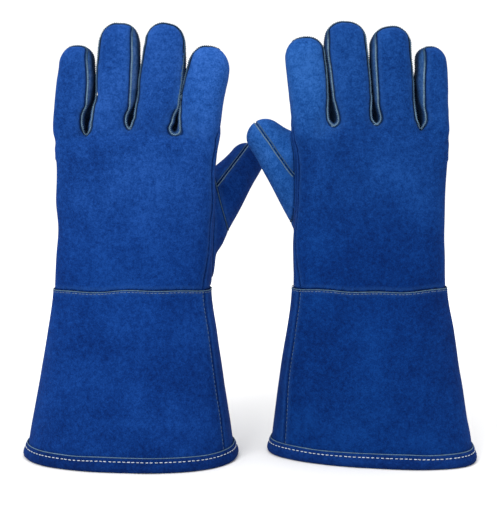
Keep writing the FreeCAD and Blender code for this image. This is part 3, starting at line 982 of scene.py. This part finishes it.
LOOKS = {
    "welt": pale_edge("raw_edge", (0.014, 0.046, 0.10), (0.125, 0.21, 0.30)),
    "thread": pale_edge("sewing_thread", (0.035, 0.085, 0.17), (0.66, 0.72, 0.78)),
    "lining": fleece(),
    "binding": suede("binding_suede", (0.0012, 0.016, 0.098), sewn=False),
    # The right glove's leather is painted darker than the left's, as painted shade added to what the key light
    # on the left gives it.
    "left_leather": suede("left_suede", (0.0016, 0.0225, 0.132), (6.2, 2.6, 1.85)),
    "left_fourchette_leather": suede("left_strip_suede", (0.012, 0.048, 0.15), (2.6, 1.7, 1.4)),
    "right_leather": suede("right_suede", (0.0008, 0.0188, 0.113), (12.0, 3.4, 2.15)),
    "right_fourchette_leather": suede("right_strip_suede", (0.012, 0.048, 0.14), (2.6, 1.7, 1.4)),
}


# ---------------------------------------------------------------- one glove

# The CAD nodes of cuff, hand and thumb in the order of REGIONS, and those of a finger, from BACK on.
PANELS = ("cuff_back_panel", "cuff_palm_panel", "back_panel", "palm_panel", "fourchettes",
          "thumb_wing", "thumb_outer", "thumb_inner")
FINGER_PANELS = ("back", "palm", "sides")
# The corners of the box that a whole glove is meshed in.
LOW, HIGH = np.array((-94.0, -52.0, 1.0)), np.array((112.0, 86.0, 360.0))


SHORTEST_RUN = 12.0           # a shorter piece of seam gets no trim


class Patch:
    """One meshed skin with its seams pressed in: the whole glove, or one stall on its own."""

    def __init__(self, glove, finger=None):
        self.glove, self.finger = glove, finger
        if finger is None:
            self.skin, low, high = glove.skin, LOW, HIGH
        else:
            self.skin = glove.finger_skin(finger)
            low, high = self.stall_box()
        points, self.quads = mesh_field(self.skin, low, high, GRID)
        self.points = self.press(points)
        centres = self.points[self.quads].mean(1)
        self.region = region_of(glove, centres)
        self.owner = owner_of(glove, centres, self.region)
        if finger is not None:
            # At its foot the stall leaves out what its neighbours hold. Higher up, it is on its own.
            s, t = glove.in_stall(finger, centres)
            index = PARTS.index(finger)
            mine = (t > STALL_SPLIT) & ((self.owner == index) | (t > STALL_SPLIT + 2.5))
            self.owner = np.where(mine, index, -1)

    def stall_box(self):
        """The stall's surroundings, on the same grid as the whole glove."""
        stall = self.glove.stalls[self.finger]
        reach = stall["half"] + 6.0
        ends = np.array([stall["hinge"] + stall["up"] * t for t in (STALL_SPLIT - 8.0, stall["top"] + 4.0)])
        low = ends.min(0) - (reach, 24.0, 0.0)
        high = ends.max(0) + (reach, 24.0, 0.0)
        low = LOW + np.floor((low - LOW) / GRID) * GRID
        return low, high

    def press(self, points):
        """Vertices nearest to a seam are moved onto it, so that it is crisp."""
        glove = self.glove
        near = 0.55 * GRID
        lines = [
            (glove.side_line, lambda p: ~glove.in_thumb(p) | (glove.wrist_line(p) < 0)),
            (glove.wrist_line, lambda p: p[:, 2] < WRIST + 9),
            (glove.thumb_line, lambda p: glove.in_thumb(p) & (glove.wing_line(p) > 0)),
            (glove.wing_line, glove.in_thumb),
            (glove.root_line, lambda p: glove.wrist_line(p) > 0),
        ]
        for line, where in lines[:1] if self.finger else lines:
            points = snap(self.skin, points, line, (np.abs(line(points)) < near) & where(points))
        return points

    def build(self):
        """Makes the leather pieces that belong to this patch."""
        glove, points = self.glove, self.points
        distances = seam_distances(glove, points)
        groove = np.zeros(len(points))
        for key, (depth, width) in GROOVES.items():
            groove = np.maximum(groove, depth * np.exp(-((distances[key] / width) ** 2)))
        n = unit(gradient(self.skin, points))
        shaped = points + n * (lumps(glove, points) - groove)[:, None]
        seam = np.minimum(np.minimum.reduce(list(distances.values())), 20.0)
        normals = vertex_normals(shaped, self.quads) * (glove.mirror, 1.0, 1.0)
        # How much paler each place is painted, as painted light from above.
        worn = glove.worn(points)
        for r in range(len(REGIONS)):
            for part in [self.finger] if self.finger else ["cuff", "hand", "thumb"]:
                mask = (self.region == r) & (self.owner == PARTS.index(part))
                if not mask.any():
                    continue
                node = f"{part}_{FINGER_PANELS[r - BACK]}" if self.finger else PANELS[r]
                used, index = np.unique(self.quads[mask], return_inverse=True)
                faces = oriented(glove, index.reshape(-1, 4))
                slot = "fourchette_leather" if r == STRIP else "leather"
                # Painted shade deep in the gap between stalls: full where the strip lies near the middle of the
                # stall's depth.
                gap_shade = 1 - smooth(np.abs(points[used, 1]), 5.5, 10.0) if r == STRIP else np.zeros(len(used))
                obj = make_object(f"{glove.side}_{node}_skin", glove.row(shaped[used]), faces,
                                  LOOKS[f"{glove.side}_{slot}"], normals[used],
                                  {"seam": seam[used], "worn": worn[used], "gap_shade": gap_shade})
                rig(obj, glove, part)
                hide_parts(f"{glove.side}_{node}")

    def runs(self, name):
        """The lines along one kind of seam, smoothed and laid on the skin."""
        edges = np.sort(np.stack([self.quads, np.roll(self.quads, -1, axis=1)], -1).reshape(-1, 2), axis=1)
        face = np.repeat(np.arange(len(self.quads)), 4)
        order = np.lexsort((edges[:, 1], edges[:, 0]))
        edges, face = edges[order], face[order]
        twin = np.flatnonzero((edges[1:] == edges[:-1]).all(1))
        a, b = self.region[face[twin]], self.region[face[twin + 1]]
        hit = np.zeros(len(twin), bool)
        for x, y in SEAMS[name]:
            x, y = REGIONS.index(x), REGIONS.index(y)
            hit |= ((a == x) & (b == y)) | ((a == y) & (b == x))
        found = []
        for run in chains(edges[twin[hit]].tolist()):
            line = self.points[run]
            closed = run[0] == run[-1]
            if run_length(line)[-1] < SHORTEST_RUN:
                continue
            line = smooth_line(line, closed, 5)
            line = resample(line, 1.3)
            found.append((settle(self.skin, smooth_line(line, closed, 2), 2), closed))
        return found

    def beside(self, line, closed, field, offset):
        """A line moved along the skin, off its seam, to the side where the field is positive."""
        g = gradient(field, line, 0.6)
        n = unit(gradient(self.skin, line))
        g = unit(g - n * (g * n).sum(1, keepdims=True))
        line = smooth_line(settle(self.skin, line + g * offset, 2), closed, 3)
        return settle(self.skin, line, 1)

    def stretches(self, line, fixed):
        """A line cut into the stretches that go with one part each; neighbours overlap a little."""
        if self.finger:
            t = self.glove.in_stall(self.finger, line)[1]
            owner = np.where(t > STALL_SPLIT - 1.5, PARTS.index(self.finger), -1)
        else:
            owner = owner_of(self.glove, line)
            on_finger = owner > PARTS.index("thumb")
            owner = np.where(on_finger, -1, owner if fixed is None else PARTS.index(fixed))
        cuts = np.flatnonzero(np.diff(owner)) + 1
        found = []
        for start, end in zip([0, *cuts], [*cuts, len(line)]):
            stretch = line[max(start - 1, 0):end + 1]
            if owner[start] >= 0 and len(stretch) >= 4:
                found.append((PARTS[owner[start]], stretch))
        return found

    def lift(self, line, height):
        n = unit(gradient(self.skin, line))
        return line + n * (lumps(self.glove, line) + height)[:, None], n


TRIMS = [
    # seam, part it goes with (None: by place), kind, offset, size, height, how pale (None: by place)
    ("wrist", "cuff", "welt", -0.5, 0.38, -0.12, 0.50),
    ("wrist", "cuff", "thread", -1.9, 0.20, -0.06, 0.14),
    ("cuff_side", "cuff", "side_welt", 0.0, 0.6, -0.5, 0.0),
    ("cuff_side", "cuff", "thread", 2.0, 0.18, -0.08, 0.08),
    ("hand_side", "hand", "side_welt", 0.0, 0.6, -0.5, 0.0),
    ("stall", None, "welt", -1.1, 0.6, -0.2, None),
    ("stall", None, "ridge", -1.1, 0.20, 0.42, None),
    ("thumb", "thumb", "welt", 1.2, 0.42, -0.15, 0.75),
    ("thumb", "thumb", "welt", -1.2, 0.34, -0.25, 0.30),
    ("wing", "hand", "welt", 0.0, 0.5, -0.2, 0.15),
]
FIELDS = {"wrist": "wrist_line", "cuff_side": "behind_side", "hand_side": "behind_side", "stall": "side_line",
          "thumb": "thumb_line", "wing": "wing_line"}
# Stitches along each seam: spacing, length, lean. Ridges are the folds that a seam's inner stitches pull.
STITCHES = {"wrist": (3.0, 2.3, 0.0), "cuff_side": (3.2, 2.2, 0.0), "stall": (1.7, 1.7, 1.2)}


def build_trims(glove, patches):
    bundles = {}
    for patch in patches:
        for seam, fixed, kind, offset, size, height, pale in TRIMS:
            if patch.finger and seam != "stall":
                continue
            field = getattr(glove, FIELDS[seam])
            for k, (line, closed) in enumerate(patch.runs(seam)):
                if offset:
                    line = patch.beside(line, closed, field, offset)
                for part, stretch in patch.stretches(line, fixed):
                    whole = closed and len(stretch) == len(line)
                    at, n = patch.lift(stretch, height)
                    # Along the stalls the paleness is a painted highlight from lit_edge.
                    shade = glove.lit_edge if pale is None else pale
                    bundle = bundles.setdefault((part, kind), Bundle())
                    if kind in ("thread", "ridge"):
                        spacing, length, lean = STITCHES[seam]
                        sewn = stitches(at, n, whole, spacing, length, size, lift=0.12, seed=5 + k, lean=lean)
                        bundle.add(sewn, shade)
                    else:
                        radius = size * (1 + 0.16 * noise(at, 7.0, 40 + k))
                        bundle.add(tube(at, n, whole, radius, flat=0.85), shade)
    for (part, kind), bundle in bundles.items():
        slot = "thread" if kind == "thread" else "welt"
        look = LOOKS["binding"] if kind == "side_welt" else LOOKS[slot]
        obj = bundle.build(glove, f"{glove.side}_{part}_{kind}", look, slot)
        rig(obj, glove, part)
        if (part, kind) == ("cuff", "welt"):
            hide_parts(f"{glove.side}_wrist_welt")
        if (part, kind) == ("cuff", "side_welt"):
            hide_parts(f"{glove.side}_cuff_side_welt")


def outline(glove, z, count):
    """The cuff's outline at a height, as evenly spaced points and their outward normals."""
    half, deep, shift, turn, n = [float(v) for v in glove.section_at(z)]
    a = np.linspace(0, 2 * np.pi, 4001)
    r = (np.abs(np.cos(a) / half) ** n + np.abs(np.sin(a) / deep) ** n) ** (-1 / n)
    x, y = r * np.cos(a), r * np.sin(a)
    run = np.concatenate([[0], np.cumsum(np.hypot(np.diff(x), np.diff(y)))])
    at = np.linspace(0, run[-1], count, endpoint=False)
    x, y = np.interp(at, run, x), np.interp(at, run, y)
    turn = math.radians(turn)
    x, y = x * math.cos(turn) - y * math.sin(turn) + shift, x * math.sin(turn) + y * math.cos(turn)
    p = np.stack([x, y, np.full(count, float(z))], 1)
    along = np.roll(p, -1, 0) - np.roll(p, 1, 0)
    return p, unit(np.stack([along[:, 1], -along[:, 0], np.zeros(count)], 1))


# The binding's profile: how far it stands out of the cuff's outline, and its height.
BINDING = [(0.15, 10.2), (0.9, 11.0), (1.7, 10.5), (2.0, 9.4), (1.7, 8.4), (2.1, 7.4), (2.7, 6.2), (3.1, 4.6),
           (3.1, 3.0), (2.6, 1.5), (1.6, 0.5), (0.2, 0.0), (-2.4, 0.0), (-4.0, 0.5), (-5.0, 1.8), (-5.4, 4.0),
           (-5.3, 7.0), (-4.9, 9.2), (-4.0, 9.9), (-3.2, 9.2), (-2.2, 8.0)]
# Its stitches and its cut upper edge, in the same way.
HEM_STITCH = (1.95, 8.4)
HEM_EDGE = (1.0, 11.15)


def hem_ring(glove, out, z, count):
    """A ring of the binding, with the unevenness of rolled leather, and its outward normals."""
    p, n = outline(glove, z, count)
    wave = noise(p * (1, 1, 0) + (0, 0, 50), 16.0, 71)
    share = min(1.0, max(out, 0.0) / 3.0)
    p = p + n * (out + 0.45 * share * wave)[:, None]
    lump = lumps(glove, np.concatenate([p[:, :2], np.full((count, 1), 12.0)], 1))
    p = p + n * (lump * min(1.0, z / 10.0))[:, None]
    p[:, 2] += 0.35 * noise(p * (1, 1, 0), 22.0, 72) * smooth(z, 3.0, 9.0)
    return p, n


def hem_line(glove, out, z, count):
    """A ring of the binding as a closed line."""
    return [np.concatenate([v, v[:1]]) for v in hem_ring(glove, out, z, count)]


def build_hem(glove):
    side = glove.side
    count = 360
    rings = [hem_ring(glove, out, z, count)[0] for out, z in BINDING]
    rows = len(rings)
    co = np.stack(rings, 1).reshape(-1, 3)
    i, j = np.meshgrid(np.arange(count), np.arange(rows), indexing="ij")
    i2, j2 = (i + 1) % count, (j + 1) % rows
    quads = np.stack([i * rows + j, i * rows + j2, i2 * rows + j2, i2 * rows + j], -1).reshape(-1, 4)[:, ::-1]
    roll = make_object(f"{side}_hem_binding_roll", glove.row(co), oriented(glove, quads), LOOKS["binding"])
    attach(roll, f"{side}_cuff_body")
    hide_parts(f"{side}_hem_binding")

    sewn, edge = Bundle(), Bundle()
    line, n = hem_line(glove, *HEM_STITCH, 700)
    sewn.add(stitches(line, n, True, spacing=3.6, length=2.5, radius=0.33, lift=0.1, seed=3), pale=0.75)
    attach(sewn.build(glove, f"{side}_hem_thread", LOOKS["thread"], "thread"), f"{side}_cuff_body")
    line, n = hem_line(glove, *HEM_EDGE, 420)
    edge.add(tube(line, n, True, 0.36 * (1 + 0.3 * noise(line, 9.0, 8)), sides=6), pale=0.75)
    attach(edge.build(glove, f"{side}_hem_edge", LOOKS["welt"], "welt"), f"{side}_cuff_body")


def build_lining(glove):
    inner = lambda p: glove.skin(p) + LINING_INSET
    points, quads = mesh_field(inner, LOW + (0, 0, 2.5), HIGH, LINING_GRID)
    points = points + unit(gradient(inner, points)) * (0.35 * noise(points, 7.0, 90))[:, None]
    centres = points[quads].mean(1)
    owner = owner_of(glove, centres)
    normals = vertex_normals(points, quads) * (-glove.mirror, -1.0, -1.0)
    for index, part in enumerate(PARTS):
        used, face = np.unique(quads[owner == index], return_inverse=True)
        faces = oriented(glove, face.reshape(-1, 4))[:, ::-1]
        obj = make_object(f"{glove.side}_{part}_fleece", glove.row(points[used]), faces, LOOKS["lining"],
                          normals[used])
        rig(obj, glove, part)
        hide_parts(f"{glove.side}_{part}_lining")


for side in GLOVES:
    glove = Glove(side)
    patches = [Patch(glove)] + [Patch(glove, finger) for finger in FINGERS]
    for patch in patches:
        patch.build()
    build_trims(glove, patches)
    build_hem(glove)
    build_lining(glove)


# ---------------------------------------------------------------- floor, light, camera

def floor():
    mesh = bpy.data.meshes.new("floor")
    far = 6.0
    mesh.from_pydata([(-far, -far, 0), (far, -far, 0), (far, far, 0), (-far, far, 0)], [], [(0, 1, 2, 3)])
    obj = bpy.data.objects.new("floor", mesh)
    bpy.context.scene.collection.objects.link(obj)
    m = Nodes("pale_floor")
    coords = m.add("ShaderNodeTexCoord").outputs["Object"]
    distance = m.add("ShaderNodeVectorMath", {0: coords}, operation="LENGTH").outputs["Value"]
    cloud = m.noise(coords, 3.0, 2.0, 0.5)
    # Painted shade: the floor is darker towards the gloves, so that the shadows round them come out deeper; far
    # off it is white.
    level = m.math("MULTIPLY_ADD", cloud, 0.04, m.span(distance, 0.2, 0.7, to_low=0.725, to_high=0.95))
    look = m.finish(m.grey(level), m.noise(coords, 40.0), strength=0.02, distance=0.001, roughness=0.9)
    mesh.materials.append(look)


def area_light(name, place, target, size, power):
    light = bpy.data.lights.new(name, "AREA")
    light.shape, light.size, light.energy = "DISK", size, power
    obj = bpy.data.objects.new(name, light)
    obj.location = place
    obj.rotation_euler = (Vector(target) - Vector(place)).to_track_quat("-Z", "Y").to_euler()
    bpy.context.scene.collection.objects.link(obj)


floor()
scene = bpy.context.scene
world = bpy.data.worlds.new("studio")
world.use_nodes = True
background = world.node_tree.nodes["Background"].inputs
background["Color"].default_value = (1.0, 1.0, 1.0, 1.0)
background["Strength"].default_value = 1.12
scene.world = world
scene.view_settings.view_transform = "Standard"
area_light("key", (-1.1, -1.6, 1.7), (0, 0, 0.18), 1.2, 34.0)
area_light("top", (0.2, -0.2, 1.9), (0, 0, 0.1), 1.6, 16.0)

CAMERA_HEIGHT = 0.250
CAMERA_BACK = 0.814
CAMERA_DOWN = 1.6
camera = bpy.data.objects.new("camera", bpy.data.cameras.new("camera"))
camera.location = (0.0, -CAMERA_BACK, CAMERA_HEIGHT)
camera.rotation_euler = (math.radians(90.0 - CAMERA_DOWN), 0.0, 0.0)
camera.data.lens = 68.8
camera.data.sensor_width = 36.0
camera.data.shift_y = -0.159
scene.collection.objects.link(camera)
scene.camera = camera
